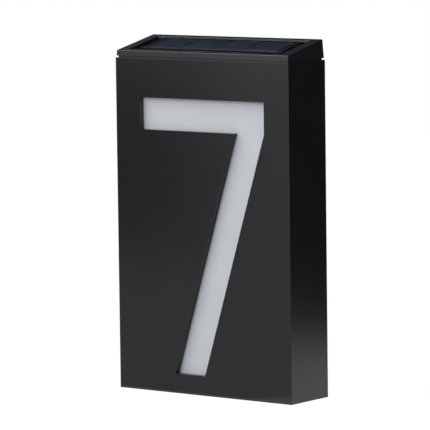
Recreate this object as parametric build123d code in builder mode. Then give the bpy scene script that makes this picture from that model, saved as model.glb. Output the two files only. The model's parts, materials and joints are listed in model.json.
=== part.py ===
from build123d import *
import os
from math import atan2, cos, pi, radians, sin, tan

# Solar house number light: an upright box with a digit cut through its front, an opal panel
# and a white reflector tray behind the digit, and a wedge-shaped solar head that plugs into
# the top of the box and carries the battery, the lamps and the switch.
#
# Millimetres. X runs to the right as seen from the front, Y to the back, Z up. The origin is
# the middle of the underside.

os.makedirs("parts", exist_ok=True)

# ------------------------------------------------------------------ driving sizes: box
body_width = 120.0
body_depth = 34.4
body_height = 187.0
front_wall = 3.4
side_wall = 2.4
bottom_wall = 2.4
top_wall = 2.4
corner_radius = 0.3          # upright outer edges
edge_radius = 0.1            # outer edges round the top and the underside

# Digit window, measured from the edges of the front.
digit_side_margin = 16.9
digit_top_margin = 21.8
digit_bottom_margin = 11.0
digit_bar = 18.0             # height of the top bar
digit_shoulder = 17.7        # straight drop of the right edge from the digit's top
digit_stroke = 20.7          # level width of the slanting stroke
digit_lean = 42.6            # level run of the stroke from shoulder to foot

# Opal panel, staked to the front wall.
diffuser_thickness = 2.0
ear_half_height = 3.5
ear_inset = 22.0             # ears from the panel's lower and upper edges
panel_over_tray = 6.0        # panel's upper edge above the tray's
stake_radius = 1.0
stake_head_radius = 1.7
stake_head = 0.7

# White tray behind the opal panel.
tray_wall = 1.5
tray_to_posts = 1.3          # tray's sides to the rear cover's posts
tray_above_floor = 2.8
tray_depth_top = 15.0
tray_depth_low = 9.5
tab_inset = 42.0             # screw tabs from the tray's lower and upper edges
tab_half_height = 4.0
tab_thickness = 1.6
tab_setback = 6.0            # tab's front face behind the tray's front edge
tray_post_radius = 2.3
tab_to_ledge = 0.4           # ends of ears and tabs to the ledge, seen from the front

# Rear cover, its seal and the ledge that the seal presses on.
cover_thickness = 2.2
cover_clearance = 0.25
seal_thickness = 1.0
ledge_thickness = 1.6
ledge_width = 2.0
cover_post_radius = 2.8
cover_post_low = 14.0        # lower posts above the underside
cover_post_top = 12.0        # upper posts below the top
post_to_ledge = 0.2          # post's outer side to the ledge's inner edge
rib_thickness = 1.6
rib_height = 3.0
rib_spacing = 36.0
rib_margin = 22.0
cross_rib_height = 62.0      # cross rib above the underside

# Keyholes for two wall screws.
keyhole_spacing = 70.0
keyhole_entry_drop = 49.0     # entry holes below the top
keyhole_entry_radius = 4.25
keyhole_slot_radius = 2.3
keyhole_rise = 8.0
pocket_depth = 5.8
pocket_wall = 1.2
pocket_margin = 1.0          # round the entry hole and above the slot's end

# ------------------------------------------------------------------ driving sizes: solar head
groove_height = 1.0          # shadow groove between the box and the lid
groove_inset = 1.3
lid_inset = 0.3              # lid's lower edge inside the box's outline
lid_front_height = 3.1
lid_back_height = 10.4
lid_draft = 3.0              # degrees, all four sides
lid_edge_radius = 0.4
lid_corner_radius = 0.6
rim_side = 6.5
rim_front = 4.2
rim_back = 3.6
rim_edge_radius = 0.25       # inner edge of the rim at the sides and the back
rim_crown_radius = 1.8       # inner edge of the rim at the front

adhesive_thickness = 0.3
adhesive_width = 3.0
solar_board_thickness = 1.0
cover_sheet_thickness = 0.8
cover_sheet_pocket = 0.35
panel_drop = 0.4             # cover sheet's top below the rim
panel_clearance = 0.25
panel_floor = 1.2

cell_count = 4
cell_gap = 2.0
cell_side_margin = 8.6       # outer cells to the board's left and right edges
cell_front_margin = 4.8      # cells inside the board's front edge
cell_back_margin = 2.4       # cells inside the board's back edge
cell_thickness = 0.25
ribbon_width = 1.5
ribbon_thickness = 0.2
ribbon_setback = 2.2         # end ribbons outside the outer cells
link_length = 2.0
link_clearance = 0.1

neck_drop = 20.5             # how far the head reaches below the top of the box
neck_wall = 1.2
neck_clearance = 0.35        # neck to the opening in the top wall
neck_to_posts = 0.8
neck_to_ledge = 0.6
neck_to_diffuser = 0.5
corner_block = 5.4           # screw blocks inside the neck's corners
corner_block_height = 9.0
solar_lead_insets = (3.0, -1.0)  # lead holes from the control board's right edge
gasket_clearance = 0.3
tray_to_slider = 0.4

base_floor = 1.8

battery_radius = 5.25
battery_length = 44.5
battery_nub_radius = 1.9
battery_nub = 1.0
sleeve_thickness = 0.25
sleeve_fit = 0.03
battery_clearance = 0.4
spring_room = 4.2
plate_room = 0.8
box_wall = 1.0
box_gap = 0.3                # battery box to the neck and to its corner blocks
contact_thickness = 0.4
contact_width = 8.0
contact_tab_width = 2.6
contact_tab_rise = 1.2
contact_clearance = 0.15
contact_foot = 1.0           # contacts' lower edge above the cell's underside
leaf_lead_in = 1.0           # level start and far end of the spring leaf

door_thickness = 1.0
door_lip = 1.0
door_clearance = 0.2
door_tab = 6.4
door_boss_radius = 2.2
door_boss_height = 3.2

board_length = 12.5
board_width = 12.8
board_thickness = 1.2
board_post_radius = 1.3
board_pin_radius = 0.6
board_pin_rise = 0.6
board_pin_clearance = 0.1
board_pin_inset = 2.0

# Spots on the control board are counted from its left and front edges.
inductor_spot = (5.9, 10.0)
inductor_radius = 2.5
inductor_waist = 1.6
inductor_height = 4.6
inductor_flange = 0.9
chip_spot = (4.6, 4.2)
chip_length = 4.9
chip_width = 3.9
chip_height = 1.5
chip_legs = 4                # on each side
chip_leg_reach = 0.9
chip_leg_width = 0.4
chip_leg_pitch = 1.27
chip_leg_thickness = 0.4
capacitor_spot = (10.1, 6.3)
capacitor_radius = 2.0
capacitor_height = 5.4
capacitor_edge = 0.4

led_count = 6
led_end_room = 8.1           # middles of the outer lamps to the lamp board's posts
led_length = 3.0
led_width = 1.4
led_height = 0.7
led_board_width = 3.0
led_board_thickness = 1.0
led_board_gap = 0.3          # board's front edge to the neck
led_post_radius = 1.0
led_post_inset = 1.5
led_clearance = 0.5          # lamps above the window
window_width = 2.2
window_end = 2.2             # window past the outer lamps
window_flange = 0.6
window_flange_thickness = 0.7
window_clearance = 0.1

switch_length = 8.8
switch_width = 3.8
switch_height = 3.6
switch_wall = 0.6
switch_lift = 0.2
switch_travel = 2.0
slider_head_length = 3.2
slider_head_width = 2.2
slider_head_height = 1.4
slider_stem_length = 2.0
slider_stem_width = 1.5
slider_reach = 1.1           # stem below the head's underside
slider_clearance = 0.15
base_slot_clearance = 0.35

lead_diameter = 1.1
lead_hole_radius = 1.0
bend_share = 0.45            # bend's tangent as a share of the shorter run beside it
# Soldering points on the control board, from its left and front edges: red, black.
battery_pads = ((1.0, 3.0), (1.0, 6.0))
solar_pads = ((9.7, 11.7), (11.5, 11.7))
led_pads = ((8.2, 2.9), (8.2, 0.9))
led_starts = (1.2, 3.6)      # on the lamp board, from the control board's left edge
# Rises of the leads' upper turns.
battery_rise = 6.0           # above the contacts' tabs
battery_landing = (7.0, 3.0)  # above the contacts' tabs, red and black
solar_drop = 6.0             # below the lid's holes, and above the control board
led_rises = (11.0, 8.5)      # above the lamp board
led_landings = (9.0, 6.5)    # above the control board
# Bends of the long black lead: right of, before and above the left contact's tab.
long_lead_bends = ((9.0, -1.5, 6.4), (24.0, -3.5, 5.0), (40.0, -3.0, 6.0))

# Screws: shank radius, head radius, length under the head.
cover_screw = (1.3, 2.6, 11.0)
tray_screw = (1.0, 2.0, 6.0)
base_screw = (1.0, 2.0, 7.0)
door_screw = (0.8, 1.5, 3.6)
pan_head_height = 1.3
thread_clearance = 0.05
screw_clearance = 0.15       # round shanks and heads in the holes they pass through
cross_width = 0.5
cross_share = 1.3            # length of the cross recess as a share of the head's radius

# ------------------------------------------------------------------ worked-out places: box
front_y = -body_depth / 2
back_y = body_depth / 2
wall_back_y = front_y + front_wall
inside_half = body_width / 2 - side_wall
inside_low = bottom_wall
inside_high = body_height - top_wall

cover_inner_y = back_y - cover_thickness
ledge_back_y = cover_inner_y - seal_thickness
ledge_front_y = ledge_back_y - ledge_thickness
ledge_half = inside_half - ledge_width
ledge_low = inside_low + ledge_width
ledge_high = inside_high - ledge_width

cover_post_x = ledge_half - post_to_ledge - cover_post_radius
cover_post_zs = (cover_post_low, body_height - cover_post_top)
cover_post_spots = [(side * cover_post_x, z) for side in (-1, 1) for z in cover_post_zs]

keyhole_entry_height = body_height - keyhole_entry_drop
head_low = body_height - neck_drop
base_top = head_low + base_floor

digit_half = body_width / 2 - digit_side_margin
digit_low = digit_bottom_margin
digit_high = body_height - digit_top_margin
bar_low = digit_high - digit_bar
shoulder_z = digit_high - digit_shoulder
foot_right = digit_half - digit_lean
foot_left = foot_right - digit_stroke
lean_per_height = digit_lean / (shoulder_z - digit_low)
inner_corner_x = foot_left + lean_per_height * (bar_low - digit_low)
digit_outline = [
    (-digit_half, digit_high),
    (-digit_half, bar_low),
    (inner_corner_x, bar_low),
    (foot_left, digit_low),
    (foot_right, digit_low),
    (digit_half, shoulder_z),
    (digit_half, digit_high),
]

tray_half = cover_post_x - cover_post_radius - tray_to_posts
tray_low = inside_low + tray_above_floor
tray_high = head_low - slider_reach - tray_to_slider
diffuser_back_y = wall_back_y + diffuser_thickness
diffuser_high = tray_high + panel_over_tray

side_feature_end = ledge_half - tab_to_ledge
stake_x = (tray_half + side_feature_end) / 2
stake_spots = [
    (side * stake_x, z)
    for side in (-1, 1)
    for z in (tray_low + ear_inset, diffuser_high - ear_inset)
]
tab_front_y = diffuser_back_y + tab_setback
tab_spots = [
    (side * stake_x, z)
    for side in (-1, 1)
    for z in (tray_low + tab_inset, tray_high - tab_inset)
]

# ------------------------------------------------------------------ worked-out places: head
lid_low = body_height + groove_height
lid_run_in = lid_front_height * tan(radians(lid_draft))
lid_front_y = front_y + lid_inset + lid_run_in
lid_back_y = back_y - lid_inset - lid_back_height * tan(radians(lid_draft))
lid_slope = atan2(lid_back_height - lid_front_height, lid_back_y - lid_front_y)
lid_run = (lid_back_y - lid_front_y) / cos(lid_slope)
lid_top = Plane(
    origin=(0, lid_front_y, lid_low + lid_front_height),
    x_dir=(1, 0, 0),
    z_dir=(0, -sin(lid_slope), cos(lid_slope)),
)

recess_half = body_width / 2 - lid_inset - lid_run_in - rim_side
recess_start = rim_front
recess_end = lid_run - rim_back
panel_stack = adhesive_thickness + solar_board_thickness + cover_sheet_thickness
recess_drop = panel_drop + panel_stack
board_half = recess_half - panel_clearance
board_start = recess_start + panel_clearance
board_end = recess_end - panel_clearance
cells_half = board_half - cell_side_margin
cell_width = (2 * cells_half - (cell_count - 1) * cell_gap) / cell_count
cell_pitch = cell_width + cell_gap
cell_start = board_start + cell_front_margin
cell_end = board_end - cell_back_margin
adhesive_plane = lid_top.offset(-recess_drop)
solar_board_plane = adhesive_plane.offset(adhesive_thickness)
cell_plane = solar_board_plane.offset(solar_board_thickness)

neck_half = cover_post_x - cover_post_radius - neck_to_posts
neck_front = diffuser_back_y + neck_to_diffuser
neck_back = ledge_front_y - neck_to_ledge
room_half = neck_half - neck_wall
room_front = neck_front + neck_wall
room_back = neck_back - neck_wall
block_inner_x = room_half - corner_block
base_screw_spots = [
    (side * (room_half - corner_block / 2), y)
    for side in (-1, 1)
    for y in (room_front + corner_block / 2, room_back - corner_block / 2)
]

box_back = room_back - box_gap
box_front = box_back - 2 * (battery_radius + battery_clearance + box_wall)
box_mid_y = (box_front + box_back) / 2
box_left = -block_inner_x + box_gap
cell_left = box_left + box_wall + spring_room
cell_right = cell_left + battery_length
box_right = cell_right + plate_room + box_wall
battery_z = base_top + battery_clearance + battery_radius
box_top = battery_z + battery_radius + battery_clearance + box_wall
door_screw_x = box_right + door_tab / 2

led_board_front = room_front + led_board_gap
led_mid_y = led_board_front + led_board_width / 2
led_board_half = block_inner_x - box_gap
led_board_low = base_top + window_flange_thickness + led_clearance + led_height
led_post_x = led_board_half - led_post_inset
outer_led_x = led_post_x - led_end_room
led_pitch = 2 * outer_led_x / (led_count - 1)
window_half = outer_led_x + led_length / 2 + window_end

board_left = box_right + door_tab
board_right = board_left + board_length
board_back = box_back
board_front = board_back - board_width
board_low = base_top + switch_lift + switch_height
board_top = board_low + board_thickness
board_pin_spots = [
    (board_left + board_pin_inset, board_back - board_pin_inset),
    (board_right - board_pin_inset, board_front + board_pin_inset),
]
switch_x = (board_left + board_right) / 2
switch_y = (board_front + board_back) / 2
slider_rest_x = switch_x - switch_travel / 2
solar_lead_spots = [(board_right - inset, 0.0) for inset in solar_lead_insets]


def on_board(spot):
    """Place of a spot counted from the control board's left and front edges."""
    return (board_left + spot[0], board_front + spot[1])


def facing(y):
    """Upright plane at depth y, drawn as seen from the front. Negative amounts go back."""
    return Plane(origin=(0, y, 0), x_dir=(1, 0, 0), z_dir=(0, -1, 0))


def span(low_x, high_x, low_y, high_y, mode=Mode.ADD):
    """Rectangle of the open sketch between two of its corners."""
    with Locations(((low_x + high_x) / 2, (low_y + high_y) / 2)):
        Rectangle(high_x - low_x, high_y - low_y, mode=mode)


def cross_recess(head_radius):
    """Two crossed bars, the outline of a screw's driver recess."""
    Rectangle(cross_share * head_radius, cross_width)
    Rectangle(cross_width, cross_share * head_radius)


def height_under_lid(y, drop):
    """Height at depth y of the surface that lies drop below the lid's sloping top."""
    rise = (y - lid_front_y) * tan(lid_slope)
    return lid_low + lid_front_height + rise - drop / cos(lid_slope)


# ------------------------------------------------------------------ housing
with BuildPart() as housing:
    with BuildSketch():
        Rectangle(body_width, body_depth)
    extrude(amount=body_height)
    fillet(housing.edges().filter_by(Axis.Z), corner_radius)
    fillet(housing.faces().filter_by(Axis.Z).edges(), edge_radius)
    # The inside, open at the back.
    with BuildSketch(facing(wall_back_y)):
        span(-inside_half, inside_half, inside_low, inside_high)
    extrude(amount=-body_depth, mode=Mode.SUBTRACT)
    # Ledge for the rear seal.
    with BuildSketch(facing(ledge_front_y)):
        span(-inside_half, inside_half, inside_low, inside_high)
        span(-ledge_half, ledge_half, ledge_low, ledge_high, mode=Mode.SUBTRACT)
    extrude(amount=-ledge_thickness)
    # Posts for the rear cover's screws, each webbed to the side wall.
    with BuildSketch(facing(wall_back_y)):
        with Locations(*cover_post_spots):
            Circle(cover_post_radius)
    extrude(amount=-(cover_inner_y - wall_back_y))
    with BuildSketch(facing(wall_back_y)):
        for post_x, post_z in cover_post_spots:
            web_mid = (abs(post_x) + inside_half) / 2 * (1 if post_x > 0 else -1)
            with Locations((web_mid, post_z)):
                Rectangle(inside_half - cover_post_x, rib_thickness)
    extrude(amount=-(ledge_back_y - wall_back_y))
    # Posts for the tray's screws and stakes for the opal panel.
    with BuildSketch(facing(wall_back_y)):
        with Locations(*tab_spots):
            Circle(tray_post_radius)
    extrude(amount=-(tab_front_y - wall_back_y))
    with BuildSketch(facing(wall_back_y)):
        with Locations(*stake_spots):
            Circle(stake_radius)
    extrude(amount=-(diffuser_thickness + stake_head))
    with BuildSketch(facing(diffuser_back_y)):
        with Locations(*stake_spots):
            Circle(stake_head_radius)
    extrude(amount=-stake_head)
    # Pilot holes.
    with BuildSketch(facing(cover_inner_y)):
        with Locations(*cover_post_spots):
            Circle(cover_screw[0] + thread_clearance)
    extrude(amount=cover_screw[2], mode=Mode.SUBTRACT)
    with BuildSketch(facing(tab_front_y)):
        with Locations(*tab_spots):
            Circle(tray_screw[0] + thread_clearance)
    extrude(amount=tray_screw[2], mode=Mode.SUBTRACT)
    # The digit, and the opening that takes the head's neck.
    with BuildSketch(facing(front_y)):
        Polygon(*digit_outline, align=None)
    extrude(amount=-front_wall, mode=Mode.SUBTRACT)
    with BuildSketch(Plane.XY.offset(inside_high)):
        span(
            -neck_half - neck_clearance,
            neck_half + neck_clearance,
            neck_front - neck_clearance,
            neck_back + neck_clearance,
        )
    extrude(amount=top_wall, mode=Mode.SUBTRACT)
housing.part.label = "housing"
export_step(housing.part, "parts/housing.step")

# ------------------------------------------------------------------ opal panel
with BuildPart() as diffuser_panel:
    with BuildSketch(facing(wall_back_y)):
        span(-tray_half, tray_half, tray_low, diffuser_high)
        with Locations(*stake_spots):
            Rectangle(2 * (side_feature_end - stake_x), 2 * ear_half_height)
            Circle(stake_radius + thread_clearance, mode=Mode.SUBTRACT)
    extrude(amount=-diffuser_thickness)
diffuser_panel.part.label = "diffuser_panel"
export_step(diffuser_panel.part, "parts/diffuser_panel.step")

# ------------------------------------------------------------------ reflector tray
with BuildPart() as light_box:
    with BuildSketch(Plane.YZ):
        Polygon(
            (diffuser_back_y, tray_low),
            (diffuser_back_y, tray_high),
            (diffuser_back_y + tray_depth_top, tray_high),
            (diffuser_back_y + tray_depth_low, tray_low),
            align=None,
        )
    extrude(amount=tray_half, both=True)
    with BuildSketch(Plane.YZ):
        Polygon(
            (diffuser_back_y, tray_low + tray_wall),
            (diffuser_back_y, tray_high),
            (diffuser_back_y + tray_depth_top - tray_wall, tray_high),
            (diffuser_back_y + tray_depth_low - tray_wall, tray_low + tray_wall),
            align=None,
        )
    extrude(amount=tray_half - tray_wall, both=True, mode=Mode.SUBTRACT)
    with BuildSketch(facing(tab_front_y)):
        with Locations(*tab_spots):
            Rectangle(2 * (side_feature_end - stake_x), 2 * tab_half_height)
            Circle(tray_screw[0] + screw_clearance, mode=Mode.SUBTRACT)
    extrude(amount=-tab_thickness)
light_box.part.label = "light_box"
export_step(light_box.part, "parts/light_box.step")

with BuildPart() as light_box_screws:
    with BuildSketch(facing(tab_front_y + tab_thickness)):
        with Locations(*tab_spots):
            Circle(tray_screw[0])
    extrude(amount=tray_screw[2])
    with BuildSketch(facing(tab_front_y + tab_thickness)):
        with Locations(*tab_spots):
            Circle(tray_screw[1])
    extrude(amount=-pan_head_height)
    with BuildSketch(facing(tab_front_y + tab_thickness + pan_head_height)):
        with Locations(*tab_spots):
            cross_recess(tray_screw[1])
    extrude(amount=pan_head_height / 2, mode=Mode.SUBTRACT)
light_box_screws.part.label = "light_box_screws"
export_step(light_box_screws.part, "parts/light_box_screws.step")

# ------------------------------------------------------------------ rear cover and seal
with BuildPart() as rear_cover:
    with BuildSketch(facing(cover_inner_y)):
        span(
            -inside_half + cover_clearance,
            inside_half - cover_clearance,
            inside_low + cover_clearance,
            inside_high - cover_clearance,
        )
    extrude(amount=-cover_thickness)
    # Stiffening ribs on the inside.
    with BuildSketch(facing(cover_inner_y)):
        for rib_x in (-rib_spacing / 2, rib_spacing / 2):
            span(
                rib_x - rib_thickness / 2,
                rib_x + rib_thickness / 2,
                rib_margin,
                body_height - rib_margin,
            )
        span(
            -rib_spacing / 2,
            rib_spacing / 2,
            cross_rib_height - rib_thickness / 2,
            cross_rib_height + rib_thickness / 2,
        )
    extrude(amount=rib_height)
    # Closed pockets behind the keyholes.
    pocket_half = keyhole_entry_radius + pocket_margin
    pocket_low = keyhole_entry_height - keyhole_entry_radius - pocket_margin
    pocket_high = keyhole_entry_height + keyhole_rise + keyhole_entry_radius + pocket_margin
    with BuildSketch(facing(cover_inner_y)):
        for keyhole_x in (-keyhole_spacing / 2, keyhole_spacing / 2):
            span(
                keyhole_x - pocket_half - pocket_wall,
                keyhole_x + pocket_half + pocket_wall,
                pocket_low - pocket_wall,
                pocket_high + pocket_wall,
            )
    extrude(amount=pocket_depth + pocket_wall)
    with BuildSketch(facing(cover_inner_y)):
        for keyhole_x in (-keyhole_spacing / 2, keyhole_spacing / 2):
            span(keyhole_x - pocket_half, keyhole_x + pocket_half, pocket_low, pocket_high)
    extrude(amount=pocket_depth, mode=Mode.SUBTRACT)
    with BuildSketch(facing(cover_inner_y)):
        for keyhole_x in (-keyhole_spacing / 2, keyhole_spacing / 2):
            with Locations((keyhole_x, keyhole_entry_height)):
                Circle(keyhole_entry_radius)
            with Locations((keyhole_x, keyhole_entry_height + keyhole_rise)):
                Circle(keyhole_slot_radius)
            with Locations((keyhole_x, keyhole_entry_height + keyhole_rise / 2)):
                Rectangle(2 * keyhole_slot_radius, keyhole_rise)
    extrude(amount=-cover_thickness, mode=Mode.SUBTRACT)
    # Countersunk holes, drawn on the back face.
    cover_holes = [Plane(origin=(x, back_y, z), z_dir=(0, 1, 0)) for x, z in cover_post_spots]
    with Locations(*cover_holes):
        CounterSinkHole(
            cover_screw[0] + screw_clearance,
            cover_screw[1] + screw_clearance,
            depth=cover_thickness,
            counter_sink_angle=90,
        )
rear_cover.part.label = "rear_cover"
export_step(rear_cover.part, "parts/rear_cover.step")

with BuildPart() as rear_cover_screws:
    with BuildSketch(facing(back_y)):
        with Locations(*cover_post_spots):
            Circle(cover_screw[1])
    extrude(amount=cover_screw[1] - cover_screw[0], taper=45)
    with BuildSketch(facing(back_y)):
        with Locations(*cover_post_spots):
            Circle(cover_screw[0])
    extrude(amount=cover_screw[2])
    with BuildSketch(facing(back_y)):
        with Locations(*cover_post_spots):
            cross_recess(cover_screw[1])
    extrude(amount=cover_thickness / 2, mode=Mode.SUBTRACT)
rear_cover_screws.part.label = "rear_cover_screws"
export_step(rear_cover_screws.part, "parts/rear_cover_screws.step")

with BuildPart() as rear_seal:
    with BuildSketch(facing(ledge_back_y)):
        span(
            -inside_half + cover_clearance,
            inside_half - cover_clearance,
            inside_low + cover_clearance,
            inside_high - cover_clearance,
        )
        span(-ledge_half, ledge_half, ledge_low, ledge_high, mode=Mode.SUBTRACT)
    extrude(amount=-seal_thickness)
rear_seal.part.label = "rear_seal"
export_step(rear_seal.part, "parts/rear_seal.step")

# ------------------------------------------------------------------ lid with its neck
with BuildPart() as lid_cap:
    with BuildSketch(Plane.XY.offset(lid_low)):
        Rectangle(body_width - 2 * lid_inset, body_depth - 2 * lid_inset)
    extrude(amount=lid_back_height + lid_front_height, taper=lid_draft)
    fillet(lid_cap.edges().group_by(Axis.Z)[1], lid_corner_radius)
    split(bisect_by=lid_top, keep=Keep.BOTTOM)
    fillet(lid_cap.faces().sort_by(Axis.Z)[-1].edges(), lid_edge_radius)
    # Recess for the solar panel.
    with BuildSketch(lid_top):
        span(-recess_half, recess_half, recess_start, recess_end)
    extrude(amount=-recess_drop, mode=Mode.SUBTRACT)
    rim_face = lid_cap.faces().filter_by(lambda face: face.inner_wires()).sort_by(Axis.Z)[-1]
    fillet(rim_face.inner_wires()[0].edges().sort_by(Axis.Y)[0], rim_crown_radius)
    rim_face = lid_cap.faces().filter_by(lambda face: face.inner_wires()).sort_by(Axis.Z)[-1]
    fillet(rim_face.inner_wires()[0].edges().sort_by(Axis.Y)[1:], rim_edge_radius)
    # Neck, hollow up to the panel's floor.
    with BuildSketch(Plane.XY.offset(base_top)):
        span(-neck_half, neck_half, neck_front, neck_back)
    extrude(amount=lid_low - base_top)
    with BuildSketch(Plane.YZ):
        Polygon(
            (room_front, base_top),
            (room_front, height_under_lid(room_front, recess_drop + panel_floor)),
            (room_back, height_under_lid(room_back, recess_drop + panel_floor)),
            (room_back, base_top),
            align=None,
        )
    extrude(amount=room_half, both=True, mode=Mode.SUBTRACT)
    # Screw blocks in the neck's corners.
    with BuildSketch(Plane.XY.offset(base_top)):
        with Locations(*base_screw_spots):
            Rectangle(corner_block, corner_block)
    extrude(amount=corner_block_height)
    with BuildSketch(Plane.XY.offset(base_top)):
        with Locations(*base_screw_spots):
            Circle(base_screw[0] + thread_clearance)
    extrude(amount=base_screw[2], mode=Mode.SUBTRACT)
    # Holes for the two solar leads.
    with BuildSketch(Plane.XY.offset(lid_low)):
        with Locations(*solar_lead_spots):
            Circle(lead_hole_radius)
    extrude(amount=lid_back_height, mode=Mode.SUBTRACT)
lid_cap.part.label = "lid_cap"
export_step(lid_cap.part, "parts/lid_cap.step")

with BuildPart() as lid_gasket:
    with BuildSketch(Plane.XY.offset(body_height)):
        Rectangle(body_width - 2 * groove_inset, body_depth - 2 * groove_inset)
        span(
            -neck_half - gasket_clearance,
            neck_half + gasket_clearance,
            neck_front - gasket_clearance,
            neck_back + gasket_clearance,
            mode=Mode.SUBTRACT,
        )
    extrude(amount=groove_height)
lid_gasket.part.label = "lid_gasket"
export_step(lid_gasket.part, "parts/lid_gasket.step")

# ------------------------------------------------------------------ solar panel
with BuildPart() as panel_adhesive:
    with BuildSketch(adhesive_plane):
        span(-board_half, board_half, board_start, board_end)
        span(
            -board_half + adhesive_width,
            board_half - adhesive_width,
            board_start + adhesive_width,
            board_end - adhesive_width,
            mode=Mode.SUBTRACT,
        )
    extrude(amount=adhesive_thickness)
panel_adhesive.part.label = "panel_adhesive"
export_step(panel_adhesive.part, "parts/panel_adhesive.step")

with BuildPart() as solar_board:
    with BuildSketch(solar_board_plane):
        span(-board_half, board_half, board_start, board_end)
    extrude(amount=solar_board_thickness)
solar_board.part.label = "solar_board"
export_step(solar_board.part, "parts/solar_board.step")

for cell_number in range(1, cell_count + 1):
    cell_x = -cells_half + cell_width / 2 + (cell_number - 1) * cell_pitch
    with BuildPart() as solar_cell:
        with BuildSketch(cell_plane):
            span(cell_x - cell_width / 2, cell_x + cell_width / 2, cell_start, cell_end)
        extrude(amount=cell_thickness)
    solar_cell.part.label = f"solar_cell_{cell_number}"
    export_step(solar_cell.part, f"parts/solar_cell_{cell_number}.step")

with BuildPart() as cell_ribbons:
    # One long ribbon beside each outer cell, and two short links in each gap.
    with BuildSketch(cell_plane):
        ribbon_x = cells_half + ribbon_setback + ribbon_width / 2
        for side in (-1, 1):
            with Locations((side * ribbon_x, (cell_start + cell_end) / 2)):
                Rectangle(ribbon_width, cell_end - cell_start)
        for gap_number in range(1, cell_count):
            gap_x = -cells_half + gap_number * cell_pitch - cell_gap / 2
            for share in (1, 3):
                link_y = cell_start + share * (cell_end - cell_start) / 4
                with Locations((gap_x, link_y)):
                    Rectangle(cell_gap - 2 * link_clearance, link_length)
    extrude(amount=ribbon_thickness)
cell_ribbons.part.label = "cell_ribbons"
export_step(cell_ribbons.part, "parts/cell_ribbons.step")

with BuildPart() as panel_cover:
    with BuildSketch(cell_plane):
        span(-board_half, board_half, board_start, board_end)
    extrude(amount=cover_sheet_thickness)
    with BuildSketch(cell_plane):
        pocket_end_x = ribbon_x + ribbon_width
        span(-pocket_end_x, pocket_end_x, cell_start - link_clearance, cell_end + link_clearance)
    extrude(amount=cover_sheet_pocket, mode=Mode.SUBTRACT)
panel_cover.part.label = "panel_cover"
export_step(panel_cover.part, "parts/panel_cover.step")

# ------------------------------------------------------------------ floor of the head
with BuildPart() as head_base:
    with BuildSketch(Plane.XY.offset(head_low)):
        span(-neck_half, neck_half, neck_front, neck_back)
    extrude(amount=base_floor)
    # Battery box, open below.
    with BuildSketch(Plane.XY.offset(base_top)):
        span(box_left, box_right, box_front, box_back)
    extrude(amount=box_top - base_top)
    with BuildSketch(Plane.XY.offset(head_low)):
        span(
            box_left + box_wall, box_right - box_wall, box_front + box_wall, box_back - box_wall
        )
    extrude(amount=box_top - box_wall - head_low, mode=Mode.SUBTRACT)
    # Boss for the door's screw, and the step that the door lies in.
    with BuildSketch(Plane.XY.offset(base_top)):
        with Locations((door_screw_x, box_mid_y)):
            Circle(door_boss_radius)
    extrude(amount=door_boss_height)
    with BuildSketch(Plane.XY.offset(head_low)):
        span(
            box_left + box_wall - door_lip,
            box_right - box_wall + door_tab,
            box_front + box_wall - door_lip,
            box_back - box_wall + door_lip,
        )
    extrude(amount=door_thickness, mode=Mode.SUBTRACT)
    with BuildSketch(Plane.XY.offset(head_low)):
        with Locations((door_screw_x, box_mid_y)):
            Circle(door_screw[0] + thread_clearance)
    extrude(amount=door_screw[2] + thread_clearance, mode=Mode.SUBTRACT)
    # Slots for the contacts' tabs in the roof of the battery box.
    with BuildSketch(Plane.XY.offset(box_top - box_wall)):
        for slot_x in (box_left + box_wall + contact_thickness, box_right - box_wall - contact_thickness):
            with Locations((slot_x, box_mid_y)):
                Rectangle(
                    2 * contact_thickness + 2 * contact_clearance,
                    contact_tab_width + 2 * contact_clearance,
                )
    extrude(amount=box_wall, mode=Mode.SUBTRACT)
    # Posts and pins under the lamp board and the control board.
    with BuildSketch(Plane.XY.offset(base_top)):
        with Locations((-led_post_x, led_mid_y), (led_post_x, led_mid_y)):
            Circle(led_post_radius)
    extrude(amount=led_board_low - base_top)
    with BuildSketch(Plane.XY.offset(led_board_low)):
        with Locations((-led_post_x, led_mid_y), (led_post_x, led_mid_y)):
            Circle(board_pin_radius)
    extrude(amount=led_board_thickness + board_pin_rise)
    with BuildSketch(Plane.XY.offset(base_top)):
        with Locations(*board_pin_spots):
            Circle(board_post_radius)
    extrude(amount=board_low - base_top)
    with BuildSketch(Plane.XY.offset(board_low)):
        with Locations(*board_pin_spots):
            Circle(board_pin_radius)
    extrude(amount=board_thickness + board_pin_rise)
    # Window for the lamps, slot for the switch, holes for the screws.
    with BuildSketch(Plane.XY.offset(head_low)):
        with Locations((0, led_mid_y)):
            Rectangle(2 * window_half, window_width)
        with Locations((switch_x, switch_y)):
            Rectangle(
                slider_stem_length + switch_travel + 2 * base_slot_clearance,
                slider_stem_width + 2 * base_slot_clearance,
            )
    extrude(amount=base_floor, mode=Mode.SUBTRACT)
    base_holes = [Plane(origin=(x, y, head_low), z_dir=(0, 0, -1)) for x, y in base_screw_spots]
    with Locations(*base_holes):
        CounterSinkHole(
            base_screw[0] + screw_clearance,
            base_screw[1] + screw_clearance,
            depth=base_floor,
            counter_sink_angle=90,
        )
head_base.part.label = "head_base"
export_step(head_base.part, "parts/head_base.step")

with BuildPart() as head_base_screws:
    with BuildSketch(Plane.XY.offset(head_low)):
        with Locations(*base_screw_spots):
            Circle(base_screw[1])
    extrude(amount=base_screw[1] - base_screw[0], taper=45)
    with BuildSketch(Plane.XY.offset(head_low)):
        with Locations(*base_screw_spots):
            Circle(base_screw[0])
    extrude(amount=base_screw[2])
    with BuildSketch(Plane.XY.offset(head_low)):
        with Locations(*base_screw_spots):
            cross_recess(base_screw[1])
    extrude(amount=base_floor / 2, mode=Mode.SUBTRACT)
head_base_screws.part.label = "head_base_screws"
export_step(head_base_screws.part, "parts/head_base_screws.step")

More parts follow.
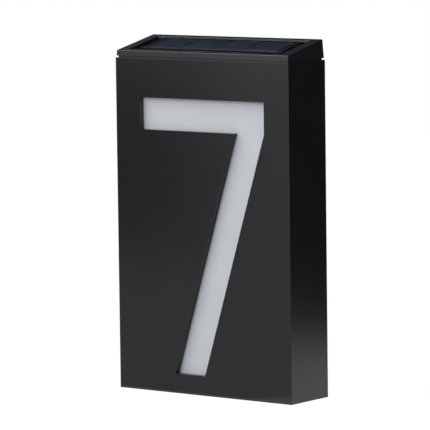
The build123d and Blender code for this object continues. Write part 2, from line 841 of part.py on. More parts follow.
with BuildPart() as battery_door:
    with BuildSketch(Plane.XY.offset(head_low)):
        span(
            box_left + box_wall - door_lip + door_clearance,
            box_right - box_wall + door_tab - door_clearance,
            box_front + box_wall - door_lip + door_clearance,
            box_back - box_wall + door_lip - door_clearance,
        )
    extrude(amount=door_thickness)
    door_hole = Plane(origin=(door_screw_x, box_mid_y, head_low), z_dir=(0, 0, -1))
    with Locations(door_hole):
        CounterSinkHole(
            door_screw[0] + screw_clearance,
            door_screw[1] + screw_clearance,
            depth=door_thickness,
            counter_sink_angle=90,
        )
battery_door.part.label = "battery_door"
export_step(battery_door.part, "parts/battery_door.step")

with BuildPart() as battery_door_screw:
    with BuildSketch(Plane.XY.offset(head_low)):
        with Locations((door_screw_x, box_mid_y)):
            Circle(door_screw[1])
    extrude(amount=door_screw[1] - door_screw[0], taper=45)
    with BuildSketch(Plane.XY.offset(head_low)):
        with Locations((door_screw_x, box_mid_y)):
            Circle(door_screw[0])
    extrude(amount=door_screw[2])
    with BuildSketch(Plane.XY.offset(head_low)):
        with Locations((door_screw_x, box_mid_y)):
            cross_recess(door_screw[1])
    extrude(amount=door_thickness / 2, mode=Mode.SUBTRACT)
battery_door_screw.part.label = "battery_door_screw"
export_step(battery_door_screw.part, "parts/battery_door_screw.step")

# ------------------------------------------------------------------ battery and contacts
can_radius = battery_radius - sleeve_thickness
battery_axis = Plane(origin=(cell_left, box_mid_y, battery_z), x_dir=(0, 1, 0), z_dir=(1, 0, 0))
with BuildPart() as battery_can:
    with BuildSketch(battery_axis):
        Circle(can_radius)
    extrude(amount=battery_length - battery_nub)
    with BuildSketch(battery_axis):
        Circle(battery_nub_radius)
    extrude(amount=battery_length)
battery_can.part.label = "battery_can"
export_step(battery_can.part, "parts/battery_can.step")

with BuildPart() as battery_sleeve:
    with BuildSketch(battery_axis):
        Circle(battery_radius)
        Circle(can_radius + sleeve_fit, mode=Mode.SUBTRACT)
    extrude(amount=battery_length - battery_nub)
battery_sleeve.part.label = "battery_sleeve"
export_step(battery_sleeve.part, "parts/battery_sleeve.step")

contact_low = battery_z - battery_radius + contact_foot
contact_high = box_top - box_wall - contact_clearance
tab_high = box_top + contact_tab_rise
with BuildPart() as contact_plate:
    plate_plane = Plane(
        origin=(box_right - box_wall - contact_thickness, 0, 0), x_dir=(0, 1, 0), z_dir=(1, 0, 0)
    )
    with BuildSketch(plate_plane):
        span(
            box_mid_y - contact_width / 2, box_mid_y + contact_width / 2, contact_low, contact_high
        )
        span(
            box_mid_y - contact_tab_width / 2,
            box_mid_y + contact_tab_width / 2,
            contact_high,
            tab_high,
        )
    extrude(amount=contact_thickness)
contact_plate.part.label = "contact_plate"
export_step(contact_plate.part, "parts/contact_plate.step")

with BuildPart() as contact_spring:
    spring_plane = Plane(
        origin=(box_left + box_wall, 0, 0), x_dir=(0, 1, 0), z_dir=(1, 0, 0)
    )
    with BuildSketch(spring_plane):
        span(
            box_mid_y - contact_width / 2, box_mid_y + contact_width / 2, contact_low, contact_high
        )
        span(
            box_mid_y - contact_tab_width / 2,
            box_mid_y + contact_tab_width / 2,
            contact_high,
            tab_high,
        )
    extrude(amount=contact_thickness)
    # Bowed leaf that rises from the foot of the plate to the cell and back.
    leaf_root_x = box_left + box_wall + contact_thickness / 2
    leaf_tip_x = cell_left - contact_thickness / 2 - contact_clearance
    with BuildSketch(facing(box_mid_y + contact_width / 2)):
        with BuildLine():
            Polyline(
                (leaf_root_x, contact_low + contact_thickness / 2),
                (leaf_root_x + leaf_lead_in, contact_low + contact_thickness / 2),
                (leaf_tip_x, battery_z),
                (leaf_root_x + leaf_lead_in, contact_high - leaf_lead_in),
            )
        trace(line_width=contact_thickness)
    extrude(amount=contact_width)
contact_spring.part.label = "contact_spring"
export_step(contact_spring.part, "parts/contact_spring.step")

# ------------------------------------------------------------------ control board
with BuildPart() as control_board:
    with BuildSketch(Plane.XY.offset(board_low)):
        span(board_left, board_right, board_front, board_back)
        with Locations(*board_pin_spots):
            Circle(board_pin_radius + board_pin_clearance, mode=Mode.SUBTRACT)
    extrude(amount=board_thickness)
control_board.part.label = "control_board"
export_step(control_board.part, "parts/control_board.step")

with BuildPart() as inductor:
    for low, high, radius in (
        (0, inductor_flange, inductor_radius),
        (inductor_flange, inductor_height - inductor_flange, inductor_waist),
        (inductor_height - inductor_flange, inductor_height, inductor_radius),
    ):
        with BuildSketch(Plane.XY.offset(board_top + low)):
            with Locations(on_board(inductor_spot)):
                Circle(radius)
        extrude(amount=high - low)
inductor.part.label = "inductor"
export_step(inductor.part, "parts/inductor.step")

with BuildPart() as controller_chip:
    with BuildSketch(Plane.XY.offset(board_top)):
        with Locations(on_board(chip_spot)):
            Rectangle(chip_length, chip_width)
    extrude(amount=chip_height)
    with BuildSketch(Plane.XY.offset(board_top)):
        with Locations(on_board(chip_spot)):
            with GridLocations(chip_leg_pitch, 0, chip_legs, 1):
                Rectangle(chip_leg_width, chip_width + 2 * chip_leg_reach)
    extrude(amount=chip_leg_thickness)
controller_chip.part.label = "controller_chip"
export_step(controller_chip.part, "parts/controller_chip.step")

with BuildPart() as capacitor:
    with BuildSketch(Plane.XY.offset(board_top)):
        with Locations(on_board(capacitor_spot)):
            Circle(capacitor_radius)
    extrude(amount=capacitor_height)
    fillet(capacitor.faces().sort_by(Axis.Z)[-1].edges(), capacitor_edge)
capacitor.part.label = "capacitor"
export_step(capacitor.part, "parts/capacitor.step")

# ------------------------------------------------------------------ switch
switch_low = board_low - switch_height
with BuildPart() as switch_body:
    with BuildSketch(Plane.XY.offset(switch_low)):
        with Locations((switch_x, switch_y)):
            Rectangle(switch_length, switch_width)
    extrude(amount=switch_height)
    with BuildSketch(Plane.XY.offset(switch_low + switch_wall)):
        with Locations((switch_x, switch_y)):
            Rectangle(
                slider_head_length + switch_travel + 2 * slider_clearance,
                slider_head_width + 2 * slider_clearance,
            )
    extrude(amount=slider_head_height + 2 * slider_clearance, mode=Mode.SUBTRACT)
    with BuildSketch(Plane.XY.offset(switch_low)):
        with Locations((switch_x, switch_y)):
            Rectangle(
                slider_stem_length + switch_travel + 2 * slider_clearance,
                slider_stem_width + 2 * slider_clearance,
            )
    extrude(amount=switch_wall, mode=Mode.SUBTRACT)
switch_body.part.label = "switch_body"
export_step(switch_body.part, "parts/switch_body.step")

with BuildPart() as switch_slider:
    slider_head_low = switch_low + switch_wall + slider_clearance
    with BuildSketch(Plane.XY.offset(slider_head_low)):
        with Locations((slider_rest_x, switch_y)):
            Rectangle(slider_head_length, slider_head_width)
    extrude(amount=slider_head_height)
    with BuildSketch(Plane.XY.offset(head_low - slider_reach)):
        with Locations((slider_rest_x, switch_y)):
            Rectangle(slider_stem_length, slider_stem_width)
    extrude(amount=slider_head_low - head_low + slider_reach)
switch_slider.part.label = "switch_slider"
export_step(switch_slider.part, "parts/switch_slider.step")

# ------------------------------------------------------------------ lamps
with BuildPart() as led_board:
    with BuildSketch(Plane.XY.offset(led_board_low)):
        with Locations((0, led_mid_y)):
            Rectangle(2 * led_board_half, led_board_width)
        with Locations((-led_post_x, led_mid_y), (led_post_x, led_mid_y)):
            Circle(board_pin_radius + board_pin_clearance, mode=Mode.SUBTRACT)
    extrude(amount=led_board_thickness)
led_board.part.label = "led_board"
export_step(led_board.part, "parts/led_board.step")

with BuildPart() as led_packages:
    with BuildSketch(Plane.XY.offset(led_board_low - led_height)):
        with Locations((0, led_mid_y)):
            with GridLocations(led_pitch, 0, led_count, 1):
                Rectangle(led_length, led_width)
    extrude(amount=led_height)
led_packages.part.label = "led_packages"
export_step(led_packages.part, "parts/led_packages.step")

with BuildPart() as led_window:
    with BuildSketch(Plane.XY.offset(head_low)):
        with Locations((0, led_mid_y)):
            Rectangle(
                2 * (window_half - window_clearance), window_width - 2 * window_clearance
            )
    extrude(amount=base_floor)
    with BuildSketch(Plane.XY.offset(base_top)):
        with Locations((0, led_mid_y)):
            Rectangle(2 * (window_half + window_flange), window_width + 2 * window_flange)
    extrude(amount=window_flange_thickness)
led_window.part.label = "led_window"
export_step(led_window.part, "parts/led_window.step")


# ------------------------------------------------------------------ leads inside the head
def corner_radii(points):
    """Radius of each bend, so that it takes bend_share of the shorter run beside it."""
    radii = []
    for before, corner, after in zip(points, points[1:], points[2:]):
        run_in = Vector(*corner) - Vector(*before)
        run_out = Vector(*after) - Vector(*corner)
        half_turn = radians(run_in.get_angle(run_out)) / 2
        radii.append(bend_share * min(run_in.length, run_out.length) / tan(half_turn))
    return radii


left_tab = (box_left + box_wall + contact_thickness / 2, box_mid_y)
right_tab = (box_right - box_wall - contact_thickness / 2, box_mid_y)
led_board_top = led_board_low + led_board_thickness
# A square tube end stays clear of the sloping board by the rise across the lead.
solar_start_z = (
    height_under_lid(solar_lead_spots[0][1], recess_drop - adhesive_thickness)
    - lead_diameter * tan(lid_slope)
)

lead_routes = {
    "battery_lead_red": [
        (*right_tab, tab_high),
        (*right_tab, tab_high + battery_rise),
        (*on_board(battery_pads[0]), tab_high + battery_landing[0]),
        (*on_board(battery_pads[0]), board_top),
    ],
    "battery_lead_black": [
        (*left_tab, tab_high),
        (*left_tab, tab_high + battery_rise),
        *[(left_tab[0] + x, left_tab[1] + y, tab_high + z) for x, y, z in long_lead_bends],
        (*on_board(battery_pads[1]), tab_high + battery_landing[1]),
        (*on_board(battery_pads[1]), board_top),
    ],
}
for pair, colour in enumerate(("red", "black")):
    lead_routes[f"solar_lead_{colour}"] = [
        (*solar_lead_spots[pair], solar_start_z),
        (*solar_lead_spots[pair], solar_start_z - solar_drop),
        (*on_board(solar_pads[pair]), board_top + solar_drop),
        (*on_board(solar_pads[pair]), board_top),
    ]
    lead_routes[f"led_lead_{colour}"] = [
        (board_left + led_starts[pair], led_mid_y, led_board_top),
        (board_left + led_starts[pair], led_mid_y, led_board_top + led_rises[pair]),
        (*on_board(led_pads[pair]), board_top + led_landings[pair]),
        (*on_board(led_pads[pair]), board_top),
    ]
lead_section = pi * lead_diameter**2 / 4
for lead_name, route in lead_routes.items():
    radii = corner_radii(route)
    with BuildPart() as lead:
        with BuildLine() as path:
            FilletPolyline(*route, radius=radii)
        with BuildSketch(Plane(origin=path.line @ 0, z_dir=path.line % 0)):
            Circle(lead_diameter / 2)
        sweep()
    length = sum(edge.length for edge in path.edges())
    share = lead.part.volume / (lead_section * length)
    print(f"{lead_name}: length {length:.1f}, volume over section times length {share:.4f}")
    print("    radii", [round(radius, 2) for radius in radii])
    lead.part.label = lead_name
    export_step(lead.part, f"parts/{lead_name}.step")
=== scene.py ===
import json
from math import cos, radians, sin

import bpy
from mathutils import Matrix, Vector


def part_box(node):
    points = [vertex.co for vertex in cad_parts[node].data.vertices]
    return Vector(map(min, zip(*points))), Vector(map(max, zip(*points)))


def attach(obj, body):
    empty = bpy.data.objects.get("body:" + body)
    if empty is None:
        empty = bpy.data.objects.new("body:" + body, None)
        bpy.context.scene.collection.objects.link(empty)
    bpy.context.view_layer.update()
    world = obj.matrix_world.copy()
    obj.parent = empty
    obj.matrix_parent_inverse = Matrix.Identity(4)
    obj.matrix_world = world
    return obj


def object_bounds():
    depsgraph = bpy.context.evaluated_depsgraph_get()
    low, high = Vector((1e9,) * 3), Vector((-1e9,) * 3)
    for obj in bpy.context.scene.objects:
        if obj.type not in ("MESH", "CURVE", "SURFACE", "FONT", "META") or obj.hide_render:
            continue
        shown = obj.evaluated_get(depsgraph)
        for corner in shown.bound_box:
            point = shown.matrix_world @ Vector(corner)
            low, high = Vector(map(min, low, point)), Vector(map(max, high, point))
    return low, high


# Looks of a solar house number light: a black moulded box with a digit cut through its front
# over an opal panel, and a wedge-shaped lid with four solar cells. Metres, the part's frame:
# X to the right seen from the front, Y to the back, Z up.

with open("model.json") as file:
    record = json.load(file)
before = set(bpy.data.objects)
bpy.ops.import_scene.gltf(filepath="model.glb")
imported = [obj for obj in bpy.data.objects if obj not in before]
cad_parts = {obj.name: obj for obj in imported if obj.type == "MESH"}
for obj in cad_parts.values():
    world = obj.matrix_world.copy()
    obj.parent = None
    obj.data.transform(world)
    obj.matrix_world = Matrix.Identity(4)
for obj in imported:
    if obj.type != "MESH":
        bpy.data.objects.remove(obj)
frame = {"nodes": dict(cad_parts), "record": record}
cad_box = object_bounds()

# ------------------------------------------------------------------ camera
camera_place = (1.21772, -1.60009, 0.31243)
camera_turn = (83.9615, 0.7155, 37.2927)        # degrees about X, Y and Z
lens_mm = 303.68
sensor_mm = 36.0

# ------------------------------------------------------------------ studio sizes
floor_half = 40.0
floor_glow = 1.045           # floor's brightness where the camera or a mirror ray sees it
floor_glow_share = 0.95      # the rest of the floor's look is its shadows
ambient = 0.20               # world's light on everything but mirror rays

# Lamps: azimuth (0 in front, - to the left), elevation, distance, size, power.
left_lamp = (-65.0, 48.0, 1.5, (1.3, 1.3), 16.0)
front_lamp = (-8.0, 24.0, 1.7, (0.9, 0.7), 8.5)
top_lamp = (0.0, 89.9, 1.5, (0.9, 0.9), 3.5)
back_lamp = (-172.0, 14.0, 1.7, (1.3, 1.0), 6.0)

# Cards that only reflections see. Their angles run from 0 in front by way of 90 on the right.
screen_steps = 48
grey_brightness = 0.40       # white is 1
black_brightness = 0.0
card_lift = 0.001            # floor card above the floor
front_floor_card = (0.005, 0.60, -85.0, 60.0)                    # radii, then angles
front_screen = ((0.0, 0.0), 0.60, -85.0, 0.0, 0.0, 0.17)         # centre, radius, angles, heights
left_card = ((0.0, 0.0), 0.26, -80.0, -34.0, 0.05, 0.192)
rear_screen = ((-0.09, -0.12), 0.415, 85.0, 195.0, 0.0, 0.8)
high_screen = ((-0.09, -0.12), 0.45, 195.0, 270.0, 0.288, 0.9)

# ------------------------------------------------------------------ moulded plastic's surface
cloud_size = 0.03
cloud_shift = 0.08           # share by which the clouds lighten and darken the colour
patch_size = 0.006
patch_roughness = 0.02       # added to the roughness in the dullest patches
grain_size = 0.0005
grain_height = 0.000001

# ------------------------------------------------------------------ solar cell sizes
finger_count = 12
finger_width = 0.00007
busbar_count = 2
busbar_width = 0.00035
print_thickness = 0.00002
cell_edge = 0.0006                           # bare edge of a cell round its printed lines


# ------------------------------------------------------------------ node helpers
def add(tree, kind, inputs=None, **properties):
    """One node of a tree, with its properties and the values of its named inputs."""
    node = tree.nodes.new(kind)
    for name, value in properties.items():
        setattr(node, name, value)
    for name, value in (inputs or {}).items():
        node.inputs[name].default_value = value
    return node


def start_material(name, colour, roughness, **sockets):
    """An opaque material with its tree, its main shader and the Object coordinates."""
    material = bpy.data.materials.new(name)
    material.use_nodes = True
    material.diffuse_color = (*colour, 1.0)
    tree = material.node_tree
    shader = tree.nodes["Principled BSDF"]
    shader.inputs["Base Color"].default_value = (*colour, 1.0)
    shader.inputs["Roughness"].default_value = roughness
    for socket, value in sockets.items():
        shader.inputs[socket.replace("_", " ")].default_value = value
    place = add(tree, "ShaderNodeTexCoord").outputs["Object"]
    return material, tree, shader, place


def noise(tree, place, size, detail=2.0, stretch=(1.0, 1.0, 1.0)):
    """Noise whose features are about size metres across, drawn out by stretch."""
    mapping = add(tree, "ShaderNodeMapping", {"Scale": [1.0 / s for s in stretch]})
    texture = add(tree, "ShaderNodeTexNoise", {"Scale": 1.0 / size, "Detail": detail})
    tree.links.new(place, mapping.inputs["Vector"])
    tree.links.new(mapping.outputs["Vector"], texture.inputs["Vector"])
    return texture.outputs["Fac"]


def vary_colour(tree, shader, factor, dark, light):
    """Base colour that runs from dark to light with factor."""
    ramp = add(tree, "ShaderNodeValToRGB")
    ramp.color_ramp.elements[0].position = 0.3
    ramp.color_ramp.elements[0].color = (*dark, 1.0)
    ramp.color_ramp.elements[1].position = 0.7
    ramp.color_ramp.elements[1].color = (*light, 1.0)
    tree.links.new(factor, ramp.inputs["Fac"])
    tree.links.new(ramp.outputs["Color"], shader.inputs["Base Color"])


def vary_roughness(tree, shader, factor, low, high):
    """Roughness that runs from low to high with factor."""
    span = add(tree, "ShaderNodeMapRange", {"To Min": low, "To Max": high})
    tree.links.new(factor, span.inputs["Value"])
    tree.links.new(span.outputs["Result"], shader.inputs["Roughness"])


def grain(tree, shader, height, depth):
    """Raised grain depth metres high."""
    bump = add(tree, "ShaderNodeBump", {"Strength": 1.0, "Distance": depth})
    tree.links.new(height, bump.inputs["Height"])
    tree.links.new(bump.outputs["Normal"], shader.inputs["Normal"])


def shade(colour, factor):
    """Colour made darker or lighter by factor, with no channel over 1."""
    return tuple(min(1.0, channel * factor) for channel in colour)


# ------------------------------------------------------------------ finishes
def moulded_plastic(name, colour, roughness, **sockets):
    """Semi-matt moulded plastic: faint clouding, uneven gloss and a fine eroded grain."""
    material, tree, shader, place = start_material(name, colour, roughness, **sockets)
    clouds = noise(tree, place, cloud_size, detail=3.0)
    darkest, lightest = shade(colour, 1 - cloud_shift), shade(colour, 1 + cloud_shift)
    vary_colour(tree, shader, clouds, darkest, lightest)
    patches = noise(tree, place, patch_size, detail=4.0)
    vary_roughness(tree, shader, patches, roughness, roughness + patch_roughness)
    grain(tree, shader, noise(tree, place, grain_size, detail=3.0), grain_height)
    return material


def opal_plastic(name, colour):
    """Milky panel: light spreads inside it, under a satin skin."""
    material, tree, shader, place = start_material(
        name,
        colour,
        roughness=0.38,
        Subsurface_Weight=0.25,
        Subsurface_Scale=0.002,
        Subsurface_Radius=(1.0, 1.0, 1.0),
    )
    clouds = noise(tree, place, size=0.02)
    vary_colour(tree, shader, clouds, dark=shade(colour, 0.985), light=shade(colour, 1.015))
    grain(tree, shader, noise(tree, place, size=0.0005), depth=0.000002)
    return material


def silicon(name, colour):
    """Dark blue cell: faint vertical drift of hue and a fine etched sparkle."""
    material, tree, shader, place = start_material(name, colour, roughness=0.32)
    drift = noise(tree, place, size=0.012, stretch=(1.0, 4.0, 1.0))
    vary_colour(tree, shader, drift, dark=shade(colour, 0.8), light=shade(colour, 1.25))
    vary_roughness(tree, shader, noise(tree, place, size=0.0008), low=0.28, high=0.40)
    return material


def clear_sheet(name, roughness):
    """Clear sheet with a faintly uneven surface."""
    material, tree, shader, place = start_material(
        name, (0.96, 0.97, 0.98), roughness, Transmission_Weight=1.0, IOR=1.45
    )
    grain(tree, shader, noise(tree, place, size=0.02, detail=1.0), depth=0.000004)
    patches = noise(tree, place, size=0.004)
    vary_roughness(tree, shader, patches, low=roughness * 0.8, high=roughness * 1.2)
    return material


def soft_rubber(name, colour):
    """Matt foam or rubber with a coarse grain."""
    material, tree, shader, place = start_material(name, colour, roughness=0.75)
    patches = noise(tree, place, size=0.004)
    vary_colour(tree, shader, patches, dark=shade(colour, 0.8), light=shade(colour, 1.3))
    grain(tree, shader, noise(tree, place, size=0.0004, detail=4.0), depth=0.00001)
    return material


def plated_metal(name, colour, roughness, stretch=(1.0, 1.0, 1.0)):
    """Plated or tinned metal with fine drawing marks along the stretched way."""
    material, tree, shader, place = start_material(name, colour, roughness, Metallic=1.0)
    marks = noise(tree, place, size=0.0004, detail=3.0, stretch=stretch)
    vary_colour(tree, shader, marks, dark=shade(colour, 0.85), light=shade(colour, 1.1))
    vary_roughness(tree, shader, marks, low=roughness - 0.06, high=roughness + 0.08)
    return material


def solder_mask(name, colour):
    """Lacquered circuit board: tracks show as a slightly paler net under the lacquer."""
    material, tree, shader, place = start_material(name, colour, roughness=0.35)
    tracks = add(
        tree,
        "ShaderNodeTexBrick",
        {"Scale": 700.0, "Mortar Size": 0.06, "Row Height": 0.9, "Brick Width": 1.8},
    )
    tracks.inputs["Color1"].default_value = (*colour, 1.0)
    tracks.inputs["Color2"].default_value = (*shade(colour, 0.9), 1.0)
    tracks.inputs["Mortar"].default_value = (*shade(colour, 1.5), 1.0)
    tree.links.new(place, tracks.inputs["Vector"])
    tree.links.new(tracks.outputs["Color"], shader.inputs["Base Color"])
    return material


def insulation(name, colour):
    """Soft lead insulation."""
    material, tree, shader, place = start_material(name, colour, roughness=0.45)
    clouds = noise(tree, place, size=0.003)
    vary_colour(tree, shader, clouds, dark=shade(colour, 0.85), light=shade(colour, 1.15))
    grain(tree, shader, noise(tree, place, size=0.0003), depth=0.000004)
    return material


black = (0.0172, 0.0173, 0.0195)
finishes = {
    "housing_black": moulded_plastic("black moulded plastic", black, 0.27),
    "lid_black": moulded_plastic("black lid plastic", (0.025, 0.0257, 0.030), 0.21),
    # The seal's skin is dark grey, lighter than the black plastic: painted light that fills the
    # shade of the groove between lid and housing.
    "seal_rubber": moulded_plastic("seal skin painted lighter against groove shade", (0.052, 0.053, 0.058), 0.30),
    "opal_white": opal_plastic("opal panel", (0.762, 0.787, 0.835)),
    "tray_white": moulded_plastic("white tray plastic", (0.72, 0.72, 0.71), 0.5),
    "cell_blue": silicon("blue solar cell", (0.045, 0.062, 0.115)),
    "panel_clear": clear_sheet("clear cover sheet", 0.07),
    "window_clear": clear_sheet("clear lamp window", 0.06),
    "solar_board_black": moulded_plastic(
        "black panel board", (0.008, 0.008, 0.011), 0.45, Specular_IOR_Level=0.25
    ),
    "foam_black": soft_rubber("black foam tape", (0.014, 0.014, 0.015)),
    "ribbon_tin": plated_metal("tinned ribbon", (0.32, 0.32, 0.33), 0.35, (1.0, 12.0, 1.0)),
    "screw_steel": plated_metal("zinc plated screw", (0.55, 0.55, 0.54), 0.32),
    "battery_steel": plated_metal("nickel plated can", (0.62, 0.62, 0.60), 0.25, (12.0, 1.0, 1.0)),
    "battery_wrap": insulation("green shrink sleeve", (0.04, 0.22, 0.10)),
    "contact_nickel": plated_metal("nickel plated contact", (0.60, 0.59, 0.55), 0.28),
    "board_green": solder_mask("green circuit board", (0.02, 0.14, 0.05)),
    "board_white": solder_mask("white lamp board", (0.70, 0.70, 0.67)),
    "ferrite_grey": moulded_plastic("sintered ferrite", (0.05, 0.05, 0.055), 0.6),
    "chip_black": moulded_plastic("chip moulding", (0.015, 0.015, 0.015), 0.5),
    "capacitor_metal": plated_metal("drawn aluminium can", (0.62, 0.62, 0.63), 0.3),
    "led_yellow": moulded_plastic("phosphor gel", (0.75, 0.60, 0.20), 0.35),
    "switch_black": moulded_plastic("switch moulding", (0.02, 0.02, 0.02), 0.45),
    "slider_white": moulded_plastic("white slider", (0.62, 0.62, 0.60), 0.4),
    "lead_red": insulation("red lead insulation", (0.42, 0.02, 0.02)),
    "lead_black": insulation("black lead insulation", (0.012, 0.012, 0.012)),
}
for subpart in frame["record"]["subparts"]:
    node = frame["nodes"][subpart["node"]]
    for material_slot in node.material_slots:
        material_slot.material = finishes[subpart["material_slot"]]


# ------------------------------------------------------------------ printed lines on the cells
def upper_plane(node):
    """Middle and normal of a flat node's upper face."""
    mesh = frame["nodes"][node].data
    face = max(mesh.polygons, key=lambda polygon: polygon.area * polygon.normal.z)
    level = face.normal.dot(face.center)
    low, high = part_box(node)
    middle = (low + high) / 2
    return middle + face.normal * (level - face.normal.dot(middle)), face.normal.copy()


def line_print_tree():
    """Fingers across a cell and busbars along it, thin flat bars round the origin."""
    tree = bpy.data.node_groups.new("line print", "GeometryNodeTree")
    tree.interface.new_socket("Geometry", in_out="OUTPUT", socket_type="NodeSocketGeometry")
    for name in ("Width", "Length", "Finger Width", "Busbar Width", "Thickness"):
        tree.interface.new_socket(name, in_out="INPUT", socket_type="NodeSocketFloat")
    for name in ("Fingers", "Busbars"):
        tree.interface.new_socket(name, in_out="INPUT", socket_type="NodeSocketInt")
    tree.interface.new_socket("Finish", in_out="INPUT", socket_type="NodeSocketMaterial")
    inputs = add(tree, "NodeGroupInput").outputs
    joined = add(tree, "GeometryNodeJoinGeometry")

    def rows_of_bars(count, across, bar_x, bar_y, axis):
        """Bars of one size, spread evenly over the length across, along axis 0 or 1."""
        share = add(tree, "ShaderNodeMath", operation="DIVIDE")
        tree.links.new(across, share.inputs[0])
        tree.links.new(count, share.inputs[1])
        start = add(tree, "ShaderNodeMath", {0: -0.5}, operation="MULTIPLY_ADD")
        half = add(tree, "ShaderNodeMath", {1: 0.5}, operation="MULTIPLY")
        tree.links.new(share.outputs[0], half.inputs[0])
        tree.links.new(across, start.inputs[1])
        tree.links.new(half.outputs[0], start.inputs[2])
        start_point = add(tree, "ShaderNodeCombineXYZ")
        step = add(tree, "ShaderNodeCombineXYZ")
        tree.links.new(start.outputs[0], start_point.inputs[axis])
        tree.links.new(share.outputs[0], step.inputs[axis])
        line = add(tree, "GeometryNodeMeshLine", mode="OFFSET")
        tree.links.new(count, line.inputs["Count"])
        tree.links.new(start_point.outputs[0], line.inputs["Start Location"])
        tree.links.new(step.outputs[0], line.inputs["Offset"])
        size = add(tree, "ShaderNodeCombineXYZ")
        tree.links.new(bar_x, size.inputs[0])
        tree.links.new(bar_y, size.inputs[1])
        tree.links.new(inputs["Thickness"], size.inputs[2])
        bar = add(tree, "GeometryNodeMeshCube")
        tree.links.new(size.outputs[0], bar.inputs["Size"])
        place = add(tree, "GeometryNodeInstanceOnPoints")
        tree.links.new(line.outputs["Mesh"], place.inputs["Points"])
        tree.links.new(bar.outputs["Mesh"], place.inputs["Instance"])
        tree.links.new(place.outputs["Instances"], joined.inputs["Geometry"])

    rows_of_bars(inputs["Fingers"], inputs["Length"], inputs["Width"], inputs["Finger Width"], 1)
    rows_of_bars(inputs["Busbars"], inputs["Width"], inputs["Busbar Width"], inputs["Length"], 0)
    realize = add(tree, "GeometryNodeRealizeInstances")
    finish = add(tree, "GeometryNodeSetMaterial")
    output = add(tree, "NodeGroupOutput")
    tree.links.new(joined.outputs["Geometry"], realize.inputs["Geometry"])
    tree.links.new(realize.outputs["Geometry"], finish.inputs["Geometry"])
    tree.links.new(inputs["Finish"], finish.inputs["Material"])
    tree.links.new(finish.outputs["Geometry"], output.inputs["Geometry"])
    return tree


def grown_mesh(tree, values, name):
    """Plain mesh that a geometry tree makes with the given values of its named inputs."""
    carrier = bpy.data.objects.new(name, bpy.data.meshes.new(name))
    bpy.context.scene.collection.objects.link(carrier)
    modifier = carrier.modifiers.new("tree", "NODES")
    modifier.node_group = tree
    for item in tree.interface.items_tree:
        if item.in_out == "INPUT":
            modifier[item.identifier] = values[item.name]
    graph = bpy.context.evaluated_depsgraph_get()
    mesh = bpy.data.meshes.new_from_object(carrier.evaluated_get(graph))
    carrier.modifiers.clear()
    bpy.data.objects.remove(carrier)
    return mesh


line_print = line_print_tree()
for cell in (name for name in frame["nodes"] if name.startswith("solar_cell_")):
    middle, normal = upper_plane(cell)
    low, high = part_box(cell)
    along = Vector((1.0, 0.0, 0.0))
    up_slope = normal.cross(along)
    cell_length = (high.y - low.y) / up_slope.y
    sizes = {
        "Width": high.x - low.x - 2 * cell_edge,
        "Length": cell_length - 2 * cell_edge,
        "Finger Width": finger_width,
        "Busbar Width": busbar_width,
        "Thickness": print_thickness,
        "Fingers": finger_count,
        "Busbars": busbar_count,
        "Finish": finishes["ribbon_tin"],
    }
    mesh = grown_mesh(line_print, sizes, "line print")
    turn = Matrix((along, up_slope, normal)).transposed().to_4x4()
    mesh.transform(Matrix.Translation(middle + normal * print_thickness / 2) @ turn)
    printed = bpy.data.objects.new(cell.replace("solar_cell", "cell_lines"), mesh)
    bpy.context.scene.collection.objects.link(printed)
    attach(printed, "solar_head")


# ------------------------------------------------------------------ studio
white = (1.0, 1.0, 1.0, 1.0)


def seen_by_eye_or_mirror(tree):
    """1 for what the camera sees, straight or by way of a reflection or a clear sheet."""
    path = add(tree, "ShaderNodeLightPath")
    first = add(tree, "ShaderNodeMath", operation="MAXIMUM")
    second = add(tree, "ShaderNodeMath", operation="MAXIMUM")
    tree.links.new(path.outputs["Is Camera Ray"], first.inputs[0])
    tree.links.new(path.outputs["Is Glossy Ray"], first.inputs[1])
    tree.links.new(first.outputs[0], second.inputs[0])
    tree.links.new(path.outputs["Is Transmission Ray"], second.inputs[1])
    return second.outputs[0]


def white_world():
    """White where it is seen, and a low even light on everything else."""
    world = bpy.data.worlds.new("studio")
    bpy.context.scene.world = world
    world.use_nodes = True
    tree = world.node_tree
    strength = add(tree, "ShaderNodeMapRange", {"To Min": ambient, "To Max": 1.0})
    tree.links.new(seen_by_eye_or_mirror(tree), strength.inputs["Value"])
    background = tree.nodes["Background"]
    background.inputs["Color"].default_value = white
    tree.links.new(strength.outputs["Result"], background.inputs["Strength"])


def stage_object(name, points, faces, material):
    """Stage mesh that isn't part of the sign."""
    mesh = bpy.data.meshes.new(name)
    mesh.from_pydata(points, [], faces)
    mesh.materials.append(material)
    made = bpy.data.objects.new(name, mesh)
    bpy.context.scene.collection.objects.link(made)
    return made


def floor_material():
    """White floor that shows as white and keeps a faint shadow under the sign."""
    material, tree, shader, place = start_material(
        "white floor", (0.50, 0.50, 0.50), roughness=0.9, Specular_IOR_Level=0.0
    )
    patches = noise(tree, place, size=0.2)
    vary_colour(tree, shader, patches, dark=(0.49, 0.49, 0.49), light=(0.51, 0.51, 0.51))
    material.cycles.emission_sampling = "NONE"      # it shows as white but isn't a lamp
    glow = add(tree, "ShaderNodeEmission", {"Color": white, "Strength": floor_glow})
    mix = add(tree, "ShaderNodeMixShader")
    share = add(tree, "ShaderNodeMath", {1: floor_glow_share}, operation="MULTIPLY")
    tree.links.new(seen_by_eye_or_mirror(tree), share.inputs[0])
    tree.links.new(share.outputs[0], mix.inputs["Fac"])
    tree.links.new(shader.outputs["BSDF"], mix.inputs[1])
    tree.links.new(glow.outputs["Emission"], mix.inputs[2])
    tree.links.new(mix.outputs["Shader"], tree.nodes["Material Output"].inputs["Surface"])
    return material


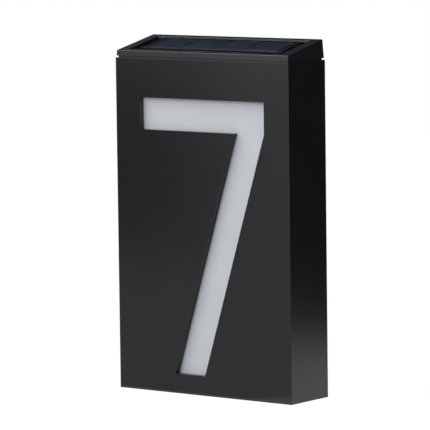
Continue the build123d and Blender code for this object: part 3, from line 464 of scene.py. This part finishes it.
def glowing_card(name, brightness):
    """Card of an even glow with a faint cloudiness."""
    material, tree, shader, place = start_material(
        name, (0.0, 0.0, 0.0), roughness=0.9, Specular_IOR_Level=0.0
    )
    darkest, lightest = 0.97 * brightness, 1.03 * brightness
    cloud = add(tree, "ShaderNodeMapRange", {"To Min": darkest, "To Max": lightest})
    tree.links.new(noise(tree, place, size=0.3), cloud.inputs["Value"])
    material.cycles.emission_sampling = "NONE"      # reflections find it, it isn't a lamp
    shader.inputs["Emission Color"].default_value = white
    tree.links.new(cloud.outputs["Result"], shader.inputs["Emission Strength"])
    return material


def reflected_card(name, first, last, edges, material):
    """Strip round the sign from angle first to last, seen only in reflections.

    edges gives the two points of the strip's edges for a direction from its centre.
    """
    points = []
    for step in range(screen_steps + 1):
        angle = radians(first + (last - first) * step / screen_steps)
        points += edges(sin(angle), -cos(angle))
    faces = [(2 * s, 2 * s + 2, 2 * s + 3, 2 * s + 1) for s in range(screen_steps)]
    card = stage_object(name, points, faces, material)
    card.visible_camera = False
    card.visible_diffuse = False
    card.visible_shadow = False


def curved_screen(name, centre, radius, first, last, low, high, material):
    """Upright card bent round a centre, from height low to height high."""

    def edges(x, y):
        return [(centre[0] + radius * x, centre[1] + radius * y, z) for z in (low, high)]

    reflected_card(name, first, last, edges, material)


def floor_card(name, near, far, first, last, material):
    """Flat card just over the floor, from radius near to radius far."""

    def edges(x, y):
        return [(radius * x, radius * y, card_lift) for radius in (far, near)]

    reflected_card(name, first, last, edges, material)


def soft_lamp(name, azimuth, elevation, distance, size, power):
    """Rectangular lamp that faces the sign; azimuth 0 is straight in front, - is to the left."""
    data = bpy.data.lights.new(name, "AREA")
    data.shape = "RECTANGLE"
    data.size, data.size_y = size
    data.energy = power
    lamp = bpy.data.objects.new(name, data)
    bpy.context.scene.collection.objects.link(lamp)
    a, e = radians(azimuth), radians(elevation)
    away = Vector((sin(a) * cos(e), -cos(a) * cos(e), sin(e)))
    target = (cad_box[0] + cad_box[1]) / 2
    lamp.location = target + away * distance
    lamp.rotation_mode = "QUATERNION"
    lamp.rotation_quaternion = away.to_track_quat("Z", "Y")
    lamp.visible_camera = False


white_world()
f = floor_half
stage_object(
    "floor",
    [(-f, -f, 0.0), (f, -f, 0.0), (f, f, 0.0), (-f, f, 0.0)],
    [(0, 1, 2, 3)],
    floor_material(),
)
card_grey = glowing_card("grey card", grey_brightness)
card_black = glowing_card("black card", black_brightness)
floor_card("front_floor_card", *front_floor_card, card_grey)
curved_screen("front_screen", *front_screen, card_grey)
curved_screen("left_card", *left_card, card_black)
curved_screen("rear_screen", *rear_screen, card_black)
curved_screen("high_screen", *high_screen, card_black)
soft_lamp("left_lamp", *left_lamp)
soft_lamp("front_lamp", *front_lamp)
soft_lamp("top_lamp", *top_lamp)
soft_lamp("back_lamp", *back_lamp)

camera_data = bpy.data.cameras.new("camera")
camera_data.lens = lens_mm
camera_data.sensor_width = sensor_mm
camera = bpy.data.objects.new("camera", camera_data)
bpy.context.scene.collection.objects.link(camera)
camera.location = camera_place
camera.rotation_euler = [radians(angle) for angle in camera_turn]
bpy.context.scene.camera = camera
bpy.context.scene.view_settings.view_transform = "Standard"
